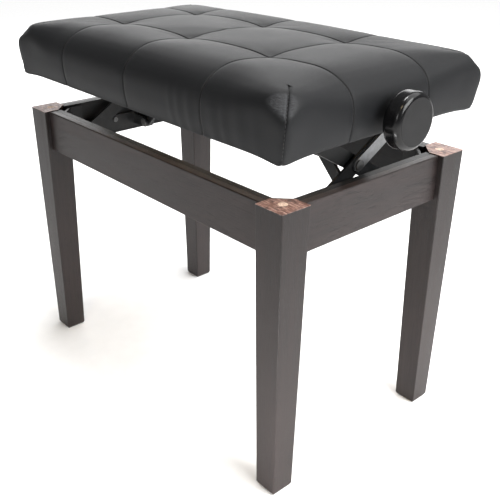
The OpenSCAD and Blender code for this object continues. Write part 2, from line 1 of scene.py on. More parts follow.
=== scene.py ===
"""Looks of the height-adjustable piano bench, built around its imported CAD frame.

The wooden frame, the lift and the knob are the CAD's own parts with procedural materials. The cushion is one
simulated, tufted leatherette cover with sewn seams, which replaces the CAD's plain foam and cover.
Lengths are in metres unless a name ends in _MM.
"""

import math

import bmesh
import bpy
import numpy as np
from mathutils import Matrix, Vector


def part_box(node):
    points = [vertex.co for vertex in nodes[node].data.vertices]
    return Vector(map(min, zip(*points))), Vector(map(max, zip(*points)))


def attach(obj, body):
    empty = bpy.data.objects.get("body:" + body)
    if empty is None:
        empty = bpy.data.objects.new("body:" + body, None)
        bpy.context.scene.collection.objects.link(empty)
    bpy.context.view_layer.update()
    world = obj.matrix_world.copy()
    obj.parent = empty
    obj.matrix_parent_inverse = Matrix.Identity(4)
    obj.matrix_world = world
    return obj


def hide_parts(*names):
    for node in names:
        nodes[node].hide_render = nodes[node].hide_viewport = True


MM = 0.001
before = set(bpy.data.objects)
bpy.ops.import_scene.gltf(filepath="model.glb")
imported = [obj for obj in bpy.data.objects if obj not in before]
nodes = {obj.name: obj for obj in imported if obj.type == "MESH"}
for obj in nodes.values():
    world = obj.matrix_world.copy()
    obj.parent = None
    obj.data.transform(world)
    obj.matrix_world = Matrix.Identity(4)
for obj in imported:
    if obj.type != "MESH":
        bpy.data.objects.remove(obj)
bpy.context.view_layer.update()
scene = bpy.context.scene

COVER_LOW, COVER_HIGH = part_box("seat_cover")
SEAT_CENTRE = (COVER_LOW + COVER_HIGH) / 2
RIM_Z = COVER_LOW.z
CROWN_Z = COVER_HIGH.z
SWELL = 6 * MM                                # how far the padded sides stand beyond the rim
RIM_X = (COVER_HIGH.x - COVER_LOW.x) / 2 - SWELL
RIM_Y = (COVER_HIGH.y - COVER_LOW.y) / 2 - SWELL
WIDE_X = RIM_X + SWELL
WIDE_Y = RIM_Y + SWELL
LEG_TOP_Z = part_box("leg_front_left")[1].z
KNOB_LOW, KNOB_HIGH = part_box("knob")
SHAFT_Z = (KNOB_LOW.z + KNOB_HIGH.z) / 2

SEAMS_X = (-150 * MM, 0.0, 150 * MM)          # seams across the seat, from its centre
SEAMS_Y = (-65 * MM, 65 * MM)                 # seams along the seat
CORNER_LEAN = 0.075                           # how far a corner seam leans over as it rises
LEAN_WIDTH = 48 * MM                          # how far round its corner the lean reaches
SEAM_TOP = 72.5 * MM                          # height of the corner seams' upper ends above the rim
CORNER_REACH = 45 * MM                        # how far from its corner a corner seam may run
PINCH_REACH = 34 * MM                         # how far from its corner the leatherette is pinched
CUT_REACH = 9 * MM                            # how far from a seam faces are cut along it
VOXEL = 5.0 * MM
HOLD_STEPS = 20                               # levels of hold on the swelling cover
CORNER_HOLD, SEAM_HOLD = 0.9, 0.25            # how firmly its corners and seams are held
SWELL_CAP_MM = (1.0, 2.2)                     # how far the sides may swell, and what the top gains on that
COVER_THICK = 1.4 * MM
TURNED_UNDER = 16 * MM                        # width of the cover turned under the seat
SHAFT_HOLE = 8.5 * MM                         # radius of the hole for the knob's shaft

CROWN_BELOW = 4.5 * MM                        # how far the top's middle lies below the CAD cover's crown
CROWN_FALL = 7 * MM                           # how far the top falls from its middle to each side
VALLEY_WIDTH = 15 * MM                        # width of the valley along each seam
VALLEY_MM = (0.3, 0.8)                        # its depth at the edge of the top, and its gain further in
DIMPLE = ((2.2 * MM, 13 * MM), (1.4 * MM, 32 * MM))    # depth and width of its pit and of its hollow
EDGE_REACH_MM = (20, 34)                      # reach of a rolled edge at a corner, and its gain along a side
EDGE_FALL_MM = (17, 14)                       # fall of a rolled edge at a corner, and its gain along a side
FACET_SLOPE = 0.55                            # how much the flat facet at a corner faces along X
FACET_HEIGHTS = (37 * MM, 42 * MM, 59 * MM, SEAM_TOP)
FACET_DEPTHS = (-7 * MM, 0, 20 * MM, 29 * MM)          # how deep the facet cuts at those heights
UNDER_INSETS_MM = (150, 110, 70, 40, 20, 8)            # rings under the cushion, inside its rim
SIDE_STEPS = 12                                        # rings up its sides
TOP_INSETS_MM = (0.3, 1, 2.2, 4, 6.5, 9.5, 13, 17, 22, 28, 35, 43, 52,
                 62, 73, 85, 98, 112, 127, 142, 155, 163)      # rings across its top

GROOVE = ((1.6 * MM, 0.9 * MM), (0.4 * MM, 5 * MM))    # depth and width of a seam's groove and its hollow
HEM_HEIGHT, HEM_WIDTH, HEM_SWELL = 2.5 * MM, 1.6 * MM, 0.5 * MM    # the turned hem above the rim
SEAM_IN_MM, HOLLOW_IN_MM, PINCH_IN_MM = 0.9, 0.8, 1.8  # how far the parts of a corner's seam lie inwards
SEAM_DOWN_MM, EAR_UP_MM = 1.3, 0.9                     # how far that seam is drawn down, and its ears rise
RIM_OUT_MM, FULL_OUT_MM, BELLY_OUT_MM = 0.5, 0.3, 2.6  # how far rim, corner foot and corner side stand out
HANG_MM, CORNER_HANG_MM = 2.0, 3.5                     # how far the rim hangs, and what a corner adds to it


# ---------------------------------------------------------------- materials

# Linear colours, and ramps given as stops: a place from 0 to 1 and the colour there
WOOD_DARK = (0.0066, 0.0044, 0.0042)
WOOD_LIGHT = (0.030, 0.0220, 0.0212)
# Painted light: the paler colour towards the legs' feet, where more light falls on them
WOOD_PAINTED_LIGHT = (0.06, 0.048, 0.046)
WORN_EDGE = (0.30, 0.22, 0.20)
END_GRAIN = ((0.34, (0.055, 0.022, 0.017)), (0.5, (0.20, 0.10, 0.078)), (0.66, (0.46, 0.31, 0.26)))
END_GRAIN_BLOTCH = (0.07, 0.035, 0.03)
LINER_DARK = (0.005, 0.005, 0.0055)
LINER_LIGHT = (0.013, 0.013, 0.0138)
PLUG_RINGS = ((0.35, (0.38, 0.24, 0.17)), (0.62, (0.78, 0.62, 0.50)))
VENEER = ((0.3, (0.33, 0.2, 0.1)), (0.5, (0.5, 0.34, 0.19)), (0.72, (0.62, 0.46, 0.28)))
GLUE_LINE = (0.13, 0.07, 0.04)
PAINT = ((0.35, (0.006, 0.0062, 0.0066)), (0.6, (0.011, 0.0114, 0.012)), (0.78, (0.045, 0.045, 0.046)))
DRAWN_STEEL = ((0.13, 0.133, 0.137), (0.25, 0.254, 0.258))
ZINC_STEEL = ((0.28, 0.275, 0.26), (0.55, 0.55, 0.54))
OILED_STEEL = ((0.05, 0.05, 0.05), (0.12, 0.12, 0.12))
KNOB_GLOSS = ((0.35, (0.002, 0.002, 0.0022)), (0.7, (0.004, 0.004, 0.0045)))
KNOB_MATTE = ((0.35, (0.006, 0.006, 0.0063)), (0.7, (0.009, 0.009, 0.0095)))
LEATHER = ((0.3, (0.0048, 0.0052, 0.0060)), (0.7, (0.0072, 0.0076, 0.0086)))
LEATHER_PIT = (0.003, 0.0032, 0.0038)
LEATHER_SEAM = (0.002, 0.002, 0.0024)
# Painted sheen, partly strained leatherette: a much lighter colour on the crinkled corner facets, standing in
# for the light they catch
LEATHER_STRAIN_AND_SHEEN = (0.036, 0.0375, 0.041)
THREAD = ((0.3, (0.006, 0.006, 0.007)), (0.7, (0.022, 0.022, 0.024)))
PAPER = ((0.3, (0.92, 0.92, 0.92)), (0.7, (0.95, 0.95, 0.95)))

PORE_DEPTH = 0.16 * MM
PAINTED_LIGHT_BELOW = 0.12                            # height below which the painted light on a leg is at its strongest
PAINTED_PARTS = ("corner_brackets", "base_bracket_", "seat_bracket_", "outer_arm_", "inner_arm_",
                 "strut_left", "strut_right")
OILED_FASTENERS = ("corner_bolts", "corner_nuts", "base_screws", "seat_screws")


def add(tree, kind, inputs=None, **settings):
    """Adds a shader node, sets its properties, and fills its inputs from values or other sockets."""
    node = tree.nodes.new(kind)
    for key, value in settings.items():
        setattr(node, key, value)
    for key, value in (inputs or {}).items():
        if isinstance(value, bpy.types.NodeSocket):
            tree.links.new(value, node.inputs[key])
        else:
            node.inputs[key].default_value = value
    return node


def new_material(name, **sockets):
    """A Principled material with constant values on its own sockets."""
    made = bpy.data.materials.new(name)
    made.use_nodes = True
    shader = made.node_tree.nodes["Principled BSDF"]
    for key, value in sockets.items():
        shader.inputs[key.replace("_", " ")].default_value = value
    return made, made.node_tree, shader


def connect(tree, shader, **outputs):
    """Feeds the shader's sockets from other nodes."""
    for key, value in outputs.items():
        tree.links.new(value, shader.inputs[key.replace("_", " ")])


def row_coordinates(tree, scale, offset=(0, 0, 0)):
    """Row-frame coordinates times a scale along each axis."""
    place = add(tree, "ShaderNodeTexCoord")
    return add(tree, "ShaderNodeMapping", {
        "Vector": place.outputs["Object"], "Scale": scale, "Location": offset}).outputs["Vector"]


def noise(tree, scale, detail=4.0, roughness=0.55, distortion=0.0, offset=(0, 0, 0)):
    """Noise stretched by a scale along each axis, from 0 to 1."""
    return add(tree, "ShaderNodeTexNoise", {
        "Vector": row_coordinates(tree, scale, offset), "Scale": 1.0, "Detail": detail,
        "Roughness": roughness, "Distortion": distortion}).outputs["Fac"]


def ramp(tree, value, stops):
    """Colour ramp through (position, colour) stops."""
    node = add(tree, "ShaderNodeValToRGB", {"Fac": value})
    elements = node.color_ramp.elements
    while len(elements) < len(stops):
        elements.new(0.5)
    for element, (place, colour) in zip(elements, stops):
        element.position = place
        element.color = (*colour, 1)
    return node.outputs["Color"]


def remap(tree, value, low, high, to_low=0.0, to_high=1.0):
    """Clamped linear map of a value."""
    return add(tree, "ShaderNodeMapRange", {
        "Value": value, "From Min": low, "From Max": high,
        "To Min": to_low, "To Max": to_high}).outputs["Result"]


def mix(tree, factor, a, b):
    """Mix of two colours, from a at a factor of 0 to b at 1."""
    node = add(tree, "ShaderNodeMix", data_type="RGBA")
    for key, value in ((0, factor), (6, a), (7, b)):
        if isinstance(value, bpy.types.NodeSocket):
            tree.links.new(value, node.inputs[key])
        elif key:
            node.inputs[key].default_value = (*value, 1)
        else:
            node.inputs[key].default_value = value
    return node.outputs[2]


def math_node(tree, operation, a, b=0.0):
    """One arithmetic step."""
    node = add(tree, "ShaderNodeMath", operation=operation)
    for key, value in enumerate((a, b)):
        if isinstance(value, bpy.types.NodeSocket):
            tree.links.new(value, node.inputs[key])
        else:
            node.inputs[key].default_value = value
    return node.outputs[0]


def weighted(tree, a, weight_a, b, weight_b):
    """Sum of two weighted values."""
    return math_node(tree, "ADD", math_node(tree, "MULTIPLY", a, weight_a),
                     math_node(tree, "MULTIPLY", b, weight_b))


def bump(tree, height, distance, strength=1.0, normal=None):
    """Bump from a height of 0 to 1 over a distance in metres."""
    inputs = {"Height": height, "Distance": distance, "Strength": strength}
    if normal is not None:
        inputs["Normal"] = normal
    return add(tree, "ShaderNodeBump", inputs).outputs["Normal"]


def grain_scale(axis, along, across):
    """Scale that stretches a texture along one axis, 0 for X, 1 for Y, 2 for Z."""
    return tuple(along if i == axis else across for i in range(3))


def shade(colour, factor):
    """A darker or lighter version of a colour."""
    return tuple(c * factor for c in colour)


def stained_wood(name, axis, dark, light, gloss=0.26):
    """Stained hardwood under satin lacquer: soft bands, fine streaks and short pores along its grain."""
    made, tree, shader = new_material(name, Specular_IOR_Level=gloss)
    bands = noise(tree, grain_scale(axis, 3.0, 55.0), detail=5.0, distortion=0.5)
    streaks = noise(tree, grain_scale(axis, 14.0, 620.0), detail=6.0, roughness=0.65)
    pores = noise(tree, grain_scale(axis, 45.0, 1500.0), detail=3.0, roughness=0.6, offset=(3, 5, 7))
    body = weighted(tree, bands, 0.55, streaks, 0.45)
    middle = tuple((d + l) / 2 for d, l in zip(dark, light))
    colour = ramp(tree, body, ((0.36, dark), (0.5, middle), (0.66, light)))
    pore_mask = remap(tree, pores, 0.36, 0.44)
    colour = mix(tree, pore_mask, shade(dark, 0.35), colour)
    height = weighted(tree, pore_mask, 0.7, streaks, 0.3)
    connect(tree, shader, Roughness=remap(tree, body, 0.35, 0.65, 0.36, 0.54),
            Normal=bump(tree, height, PORE_DEPTH, 0.65))
    return made, tree, shader, colour


def leg_wood():
    """Leg wood: upright grain, painted shade at the top and painted light towards the foot, with a worn edge
    and raw reddish end grain on top.
    """
    made, tree, shader, colour = stained_wood("leg_wood", 2, WOOD_DARK, WOOD_LIGHT)
    place = add(tree, "ShaderNodeTexCoord")
    height = add(tree, "ShaderNodeSeparateXYZ", {"Vector": place.outputs["Object"]}).outputs["Z"]
    # Painted shade darkens each leg near its top and painted light makes it paler towards its foot, standing
    # in for how the light falls on the legs
    painted_lit = mix(tree, 0.22, colour, WOOD_PAINTED_LIGHT)
    deep = mix(tree, 0.5, colour, shade(WOOD_DARK, 0.6))
    colour = mix(tree, remap(tree, height, PAINTED_LIGHT_BELOW, LEG_TOP_Z, 1.0, 0.0), deep, painted_lit)
    uneven = math_node(tree, "MULTIPLY", noise(tree, (420, 420, 420), detail=3.0), 2.4 * MM)
    worn = remap(tree, math_node(tree, "ADD", height, uneven), LEG_TOP_Z + 0.55 * MM, LEG_TOP_Z + 1.2 * MM)
    colour = mix(tree, worn, colour, WORN_EDGE)
    growth = noise(tree, (70, 520, 40), detail=6.0, distortion=1.2)
    blotches = noise(tree, (130, 130, 130), detail=4.0)
    raw = mix(tree, remap(tree, blotches, 0.52, 0.66), ramp(tree, growth, END_GRAIN), END_GRAIN_BLOTCH)
    top = remap(tree, height, LEG_TOP_Z - 0.35 * MM, LEG_TOP_Z - 0.1 * MM)
    connect(tree, shader, Base_Color=mix(tree, top, colour, raw))
    return made


def board_wood(name, axis):
    """Apron wood, its grain along an axis."""
    made, tree, shader, colour = stained_wood(name, axis, WOOD_DARK, WOOD_LIGHT)
    connect(tree, shader, Base_Color=colour)
    return made


def liner_wood(name, axis):
    """Black-stained liner wood."""
    made, tree, shader, colour = stained_wood(name, axis, LINER_DARK, LINER_LIGHT, gloss=0.14)
    connect(tree, shader, Base_Color=colour)
    return made


def plug_wood():
    """Pale end grain with growth rings."""
    made, tree, shader = new_material("plug_wood", Roughness=0.75)
    rings = noise(tree, (300, 900, 300), detail=5.0, distortion=0.8)
    connect(tree, shader, Base_Color=ramp(tree, rings, PLUG_RINGS), Normal=bump(tree, rings, 0.15 * MM))
    return made


def plywood():
    """Raw plywood: veneer figure on the faces and dark glue lines on the edges."""
    made, tree, shader = new_material("plywood", Roughness=0.7)
    figure = noise(tree, (9, 120, 120), detail=6.0, distortion=1.5)
    layers = add(tree, "ShaderNodeTexWave", {
        "Vector": row_coordinates(tree, (1, 1, 1)), "Scale": 150.0, "Distortion": 0.6, "Detail": 2.0},
        wave_type="BANDS", bands_direction="Z").outputs["Fac"]
    normal = add(tree, "ShaderNodeNewGeometry").outputs["Normal"]
    upward = add(tree, "ShaderNodeSeparateXYZ", {"Vector": normal}).outputs["Z"]
    edge = remap(tree, math_node(tree, "ABSOLUTE", upward), 0.5, 0.4)
    glue = math_node(tree, "MULTIPLY", edge, remap(tree, layers, 0.3, 0.2))
    connect(tree, shader, Base_Color=mix(tree, glue, ramp(tree, figure, VENEER), GLUE_LINE),
            Normal=bump(tree, figure, 0.2 * MM))
    return made


def painted_steel():
    """Black painted sheet steel: fine orange peel, dust and rubbed patches."""
    made, tree, shader = new_material("painted_steel", Specular_IOR_Level=0.18)
    peel = noise(tree, (1600, 1600, 1600), detail=2.0)
    rubbed = noise(tree, (75, 75, 75), detail=7.0, roughness=0.7)
    connect(tree, shader, Base_Color=ramp(tree, rubbed, PAINT),
            Roughness=remap(tree, rubbed, 0.3, 0.7, 0.34, 0.55), Normal=bump(tree, peel, 0.06 * MM))
    return made


def bare_steel(name, colours, scale, roughness):
    """Bare metal between two colours, with drawn or mottled streaks."""
    made, tree, shader = new_material(name, Metallic=0.85)
    streaks = noise(tree, scale, detail=5.0, roughness=0.65)
    spots = noise(tree, (150, 150, 150), detail=5.0)
    stops = tuple(zip((0.3, 0.7), colours))
    connect(tree, shader, Base_Color=mix(tree, 0.35, ramp(tree, spots, stops), ramp(tree, streaks, stops)),
            Roughness=remap(tree, streaks, 0.3, 0.7, roughness - 0.08, roughness + 0.1),
            Normal=bump(tree, streaks, 0.04 * MM))
    return made


def knob_gloss():
    """Gloss black moulding with faint handling marks."""
    made, tree, shader = new_material("knob_gloss", Specular_IOR_Level=0.25)
    marks = noise(tree, (320, 320, 320), detail=6.0, roughness=0.7)
    fine = noise(tree, (2400, 2400, 2400), detail=2.0)
    connect(tree, shader, Base_Color=ramp(tree, marks, KNOB_GLOSS),
            Roughness=remap(tree, marks, 0.35, 0.7, 0.17, 0.22), Normal=bump(tree, fine, 0.01 * MM))
    return made


def knob_matte():
    """Matte dark disc, lightly sprayed."""
    made, tree, shader = new_material("knob_matte", Specular_IOR_Level=0.2)
    spray = noise(tree, (2600, 2600, 2600), detail=3.0)
    cloud = noise(tree, (60, 60, 60), detail=3.0)
    connect(tree, shader, Base_Color=ramp(tree, cloud, KNOB_MATTE),
            Roughness=remap(tree, spray, 0.3, 0.7, 0.5, 0.62), Normal=bump(tree, spray, 0.05 * MM))
    return made


def leatherette():
    """Black leatherette: pebbled grain, darker seams and fine crinkles where the corners are pinched, with a
    painted sheen on those crinkled facets.
    """
    made, tree, shader = new_material("leatherette", Specular_IOR_Level=0.17)
    place = row_coordinates(tree, (1, 1, 1))
    drift = add(tree, "ShaderNodeTexNoise", {"Vector": place, "Scale": 900.0, "Detail": 1.0}).outputs["Color"]
    shift = add(tree, "ShaderNodeVectorMath", {0: drift, "Scale": 0.8 * MM}, operation="SCALE").outputs[0]
    shifted = add(tree, "ShaderNodeVectorMath", {0: place, 1: shift}, operation="ADD").outputs[0]
    pebbles = add(tree, "ShaderNodeTexVoronoi", {"Vector": shifted, "Scale": 1050.0},
                  feature="DISTANCE_TO_EDGE").outputs["Distance"]
    fine = noise(tree, (3300, 3300, 3300), detail=2.0)
    cloud = noise(tree, (16, 16, 16), detail=5.0, roughness=0.6)
    grain = weighted(tree, remap(tree, pebbles, 0.0, 0.22), 0.75, fine, 0.25)
    colour = mix(tree, remap(tree, pebbles, 0.0, 0.10), LEATHER_PIT, ramp(tree, cloud, LEATHER))
    seam = add(tree, "ShaderNodeAttribute", attribute_name="seam").outputs["Fac"]
    colour = mix(tree, seam, colour, LEATHER_SEAM)
    crinkle_and_sheen = add(tree, "ShaderNodeAttribute", attribute_name="crinkle_and_sheen").outputs["Fac"]
    folds = noise(tree, (260, 260, 900), detail=3.0, roughness=0.6, distortion=0.6)
    # Painted sheen on the crinkled corner facets, partly the strained leatherette's own lighter tone and
    # partly the light those facets catch
    strain_and_sheen = math_node(tree, "MULTIPLY", crinkle_and_sheen, remap(tree, folds, 0.35, 0.65, 0.35, 1.0))
    strain_and_sheen = math_node(tree, "MULTIPLY", strain_and_sheen, math_node(tree, "SUBTRACT", 1.0, seam))
    soft = bump(tree, math_node(tree, "MULTIPLY", folds, crinkle_and_sheen), 0.5 * MM)
    connect(tree, shader, Base_Color=mix(tree, strain_and_sheen, colour, LEATHER_STRAIN_AND_SHEEN),
            Roughness=remap(tree, cloud, 0.3, 0.7, 0.52, 0.58),
            Normal=bump(tree, grain, 0.055 * MM, 0.8, soft))
    return made


def thread_material():
    """Dark waxed thread, twisted."""
    made, tree, shader = new_material("thread", Roughness=0.6)
    twist = noise(tree, (2500, 2500, 2500), detail=2.0)
    connect(tree, shader, Base_Color=ramp(tree, twist, THREAD), Normal=bump(tree, twist, 0.1 * MM))
    return made


def give(names, material):
    """Assigns a material to CAD nodes."""
    for name in names:
        mesh = nodes[name].data
        if not mesh.materials:
            mesh.materials.append(material)
        for i in range(len(mesh.materials)):
            mesh.materials[i] = material


def dress_cad_nodes():
    """Gives every shown CAD node its material."""
    give([n for n in nodes if n.startswith("leg_") and n != "leg_plugs"], leg_wood())
    give(["leg_plugs"], plug_wood())
    give(["apron_front", "apron_back"], board_wood("apron_wood_long", 0))
    give(["apron_left", "apron_right"], board_wood("apron_wood_short", 1))
    give(["liner_front", "liner_back"], liner_wood("liner_wood_long", 0))
    give(["liner_left", "liner_right"], liner_wood("liner_wood_short", 1))
    give([n for n in nodes if n.startswith("seat_rail_")] + ["seat_board", "screw_bearing"], plywood())
    give([n for n in nodes if n.startswith(PAINTED_PARTS)], painted_steel())
    drawn = bare_steel("drawn_steel", DRAWN_STEEL, (900, 40, 900), 0.42)
    give(["arm_doubler_left", "arm_doubler_right", "nut_left", "nut_right", "screw_collars"], drawn)
    oiled = bare_steel("oiled_steel", OILED_STEEL, (500, 500, 500), 0.4)
    give([n for n in nodes if "_pin" in n or n in OILED_FASTENERS], oiled)
    give(["lift_screw"], bare_steel("zinc_steel", ZINC_STEEL, (400, 400, 400), 0.38))
    give(["knob"], knob_gloss())
    give(["knob_cap"], knob_matte())


# ---------------------------------------------------------------- cushion

def coordinates(mesh):
    """Vertex coordinates as an array."""
    values = np.empty(len(mesh.vertices) * 3, np.float32)
    mesh.vertices.foreach_get("co", values)
    return values.reshape(-1, 3).astype(float)


def set_coordinates(mesh, values):
    """Moves the vertices to new coordinates."""
    mesh.vertices.foreach_set("co", values.astype(np.float32).ravel())
    mesh.update()


def vertex_normals(mesh):
    """Smooth vertex normals as an array."""
    values = np.empty(len(mesh.vertices) * 3, np.float32)
    mesh.vertex_normals.foreach_get("vector", values)
    return values.reshape(-1, 3).astype(float)


def smooth_step(value, low, high):
    """Rises smoothly from 0 at low to 1 at high."""
    t = np.clip((value - low) / (high - low), 0, 1)
    return t * t * (3 - 2 * t)


def bell(distance, width):
    """1 at no distance, falling smoothly towards 0 past a width."""
    return np.exp(-(distance / width) ** 2)


def in_corner(x, y, corner, reach):
    """Whether places measured from the seat's centre are within a reach of the corner with these signs."""
    return (x * corner[0] > WIDE_X - reach) & (y * corner[1] > WIDE_Y - reach)


def edge_drop(inset, along):
    """How far the top has sunk at a distance inside one side, more gently away from the corners."""
    open_side = smooth_step(along, 14 * MM, 105 * MM)
    reach = (EDGE_REACH_MM[0] + EDGE_REACH_MM[1] * open_side) * MM
    fall = (EDGE_FALL_MM[0] + EDGE_FALL_MM[1] * open_side) * MM
    share = 1 - np.clip(inset / reach, 0, 1)
    return fall * (1 - np.sqrt(1 - share * share))


def seat_top(x, y):
    """Height of the crowned, tufted top above the rim, at places measured from the seat's centre."""
    in_x = np.clip(WIDE_X - np.abs(x), 0, 1)
    in_y = np.clip(WIDE_Y - np.abs(y), 0, 1)
    crown = (CROWN_Z - RIM_Z) - CROWN_BELOW - CROWN_FALL * ((x / WIDE_X) ** 4 + (y / WIDE_Y) ** 4)
    drop_x = edge_drop(in_x, in_y)
    drop_y = edge_drop(in_y, in_x)
    soft = 1.5 * MM
    crown = crown - soft * np.log(np.exp(drop_x / soft) + np.exp(drop_y / soft) - 1)
    inside = smooth_step(np.minimum(in_x, in_y), 25 * MM, 80 * MM)
    valley = (VALLEY_MM[0] + VALLEY_MM[1] * inside) * MM
    for places, lines in ((x, SEAMS_X), (y, SEAMS_Y)):
        for line in lines:
            crown = crown - valley * bell(places - line, VALLEY_WIDTH)
    for at_x in SEAMS_X:
        for at_y in SEAMS_Y:
            away = np.hypot(x - at_x, y - at_y)
            for depth, width in DIMPLE:
                crown = crown - depth * bell(away, width)
    return crown


def chamfer_push(points):
    """Moves points outside the flat facet at each corner in to it, and gives how far they lay outside."""
    x, y, z = points.T
    in_x = WIDE_X - np.abs(x)
    in_y = WIDE_Y - np.abs(y)
    over = np.interp(z, FACET_HEIGHTS, FACET_DEPTHS) - (FACET_SLOPE * in_x + in_y)
    soft = 1.0 * MM
    push = soft * np.log1p(np.exp(np.clip(over / soft, -30, 30)))
    push = np.where((z > 40 * MM) & (over > -6 * soft), push, 0)
    moved = points.copy()
    moved[:, 0] -= np.sign(x) * push / (1 + FACET_SLOPE)
    moved[:, 1] -= np.sign(y) * push / (1 + FACET_SLOPE)
    return moved, over


def corner_lean(points):
    """How far each point moves sideways where the corners lean over as they rise."""
    x, y, z = points.T
    away = np.hypot(WIDE_X - np.abs(x), WIDE_Y - np.abs(y))
    shift = CORNER_LEAN * z * bell(away, LEAN_WIDTH) / math.sqrt(2)
    return np.column_stack((np.sign(x) * shift, -np.sign(y) * shift, np.zeros(len(x))))


def ring(half_x, half_y, radius):
    """Points round a rectangle with round corners."""
    turn, straight = 8, 72
    points = []
    corners = ((1, 1, 0), (-1, 1, 90), (-1, -1, 180), (1, -1, 270))
    for i, (sx, sy, start) in enumerate(corners):
        centre = np.array((sx * (half_x - radius), sy * (half_y - radius)))
        for k in range(turn):
            angle = math.radians(start + 90 * k / turn)
            points.append(centre + radius * np.array((math.cos(angle), math.sin(angle))))
        end = math.radians(start + 90)
        next_x, next_y, _ = corners[(i + 1) % 4]
        first = centre + radius * np.array((math.cos(end), math.sin(end)))
        last = np.array((next_x * (half_x - radius), next_y * (half_y - radius)))
        last = last + radius * np.array((math.cos(end), math.sin(end)))
        for k in range(straight):
            points.append(first + (last - first) * k / straight)
    return np.array(points)


def cushion_block(shrink):
    """The cushion before it swells: sides that lean out from the rim, rolled edges and a tufted top."""
    rings = []
    for inset in UNDER_INSETS_MM:
        outline = ring(RIM_X - inset * MM, RIM_Y - inset * MM, 3 * MM)
        rings.append(np.column_stack((outline, np.zeros(len(outline)))))
    edge = ring(WIDE_X, WIDE_Y, 4 * MM)
    edge_height = seat_top(edge[:, 0], edge[:, 1])
    for k in range(SIDE_STEPS + 1):
        height = edge_height * k / SIDE_STEPS
        lean = SWELL * np.sin(math.pi / 2 * np.clip(height / (46 * MM), 0, 1))
        small = shrink * smooth_step(height, 15 * MM, 45 * MM)
        size = np.column_stack(((RIM_X + lean - small) / WIDE_X, (RIM_Y + lean - small) / WIDE_Y))
        rings.append(np.column_stack((edge * size, height)))
    for inset in TOP_INSETS_MM:
        outline = ring(WIDE_X - inset * MM, WIDE_Y - inset * MM, 4 * MM)
        sunk = shrink * smooth_step(np.full(len(outline), inset), 0, 25)
        height = seat_top(outline[:, 0], outline[:, 1]) - sunk
        size = np.array((1 - shrink / WIDE_X, 1 - shrink / WIDE_Y))
        rings.append(np.column_stack((outline * size, height)))
    rings = [chamfer_push(points)[0] for points in rings]
    rings = [points + corner_lean(points) for points in rings]
    verts = np.vstack(rings) + (SEAT_CENTRE.x, SEAT_CENTRE.y, RIM_Z)
    count = len(edge)
    faces = []
    for r in range(len(rings) - 1):
        for k in range(count):
            n = (k + 1) % count
            faces.append((r * count + k, r * count + n, (r + 1) * count + n, (r + 1) * count + k))
    faces.append(tuple(reversed(range(count))))
    faces.append(tuple(range((len(rings) - 1) * count, len(rings) * count)))
    mesh = bpy.data.meshes.new("cushion")
    mesh.from_pydata(verts.tolist(), [], faces)
    mesh.validate()
    made = bpy.data.objects.new("cushion", mesh)
    scene.collection.objects.link(made)
    return made


def apply_modifiers(obj):
    """Replaces the mesh with what its modifiers make, and removes them."""
    graph = bpy.context.evaluated_depsgraph_get()
    graph.update()
    mesh = bpy.data.meshes.new_from_object(obj.evaluated_get(graph))
    obj.modifiers.clear()
    obj.data = mesh


def from_seat_centre(points):
    """Points measured from the middle of the seat's rim plane."""
    return points - (SEAT_CENTRE.x, SEAT_CENTRE.y, RIM_Z)


def nearest_line(values, lines):
    """Distance from each value to the nearest of the lines."""
    return np.min([np.abs(values - line) for line in lines], axis=0)


def simulate(obj, frames=20, pressure=4.0):
    """Swells the cushion under pressure, held at its rim, dimples and corners and lightly along its seams."""
    start = coordinates(obj.data)
    x, y, z = from_seat_centre(start).T
    in_x, in_y = WIDE_X - np.abs(x), WIDE_Y - np.abs(y)
    away_x, away_y = nearest_line(x, SEAMS_X), nearest_line(y, SEAMS_Y)
    top = smooth_step(z, 40 * MM, 70 * MM)
    inside = smooth_step(np.minimum(in_x, in_y), 40 * MM, 90 * MM) * top
    seam = inside * np.maximum(bell(away_x, 6 * MM), bell(away_y, 6 * MM))
    dimple = bell(np.hypot(away_x, away_y), 10 * MM) * top
    rim = 1 - smooth_step(z, 3 * MM, 14 * MM)
    corner = 1 - smooth_step(np.hypot(in_x, in_y), 20 * MM, 60 * MM)
    hold = np.maximum.reduce([rim, dimple, CORNER_HOLD * corner, SEAM_HOLD * seam])
    group = obj.vertex_groups.new(name="held")
    steps = np.round(hold * HOLD_STEPS) / HOLD_STEPS
    for weight in np.unique(steps):
        if weight > 0:
            group.add(np.flatnonzero(steps == weight).tolist(), float(weight), "REPLACE")
    cloth = obj.modifiers.new("Cloth", "CLOTH")
    settings = cloth.settings
    settings.quality = 6
    settings.mass = 0.2
    settings.tension_stiffness = settings.compression_stiffness = 22
    settings.shear_stiffness = 12
    settings.bending_stiffness = 1.5
    settings.use_pressure = True
    settings.uniform_pressure_force = pressure
    settings.vertex_group_mass = "held"
    settings.effector_weights.gravity = 0
    cloth.point_cache.frame_start = 1
    cloth.point_cache.frame_end = frames
    for number in range(1, frames + 1):
        scene.frame_set(number)
    apply_modifiers(obj)
    scene.frame_set(1)
    moved = coordinates(obj.data) - start
    length = np.linalg.norm(moved, axis=1)
    cap = (SWELL_CAP_MM[0] + SWELL_CAP_MM[1] * top) * MM
    moved *= (cap * np.tanh(length / cap) / np.maximum(length, 1e-9))[:, None]
    set_coordinates(obj.data, start + moved)
    obj.vertex_groups.clear()


def seam_planes():
    """Each seam's plane from the seat's centre: a point, a normal, and the signs of its corner or None."""
    planes = []
    for axis, lines in ((0, SEAMS_X), (1, SEAMS_Y)):
        for line in lines:
            point, normal = Vector((0, 0, 0)), Vector((0, 0, 0))
            point[axis] = line
            normal[axis] = 1
            planes.append((point, normal, None))
    for sx in (-1, 1):
        for sy in (-1, 1):
            across = Vector((sx, -sy, 0)).normalized()
            normal = (across - Vector((0, 0, CORNER_LEAN))).normalized()
            planes.append((Vector((sx * RIM_X, sy * RIM_Y, 0)), normal, (sx, sy)))
    return planes


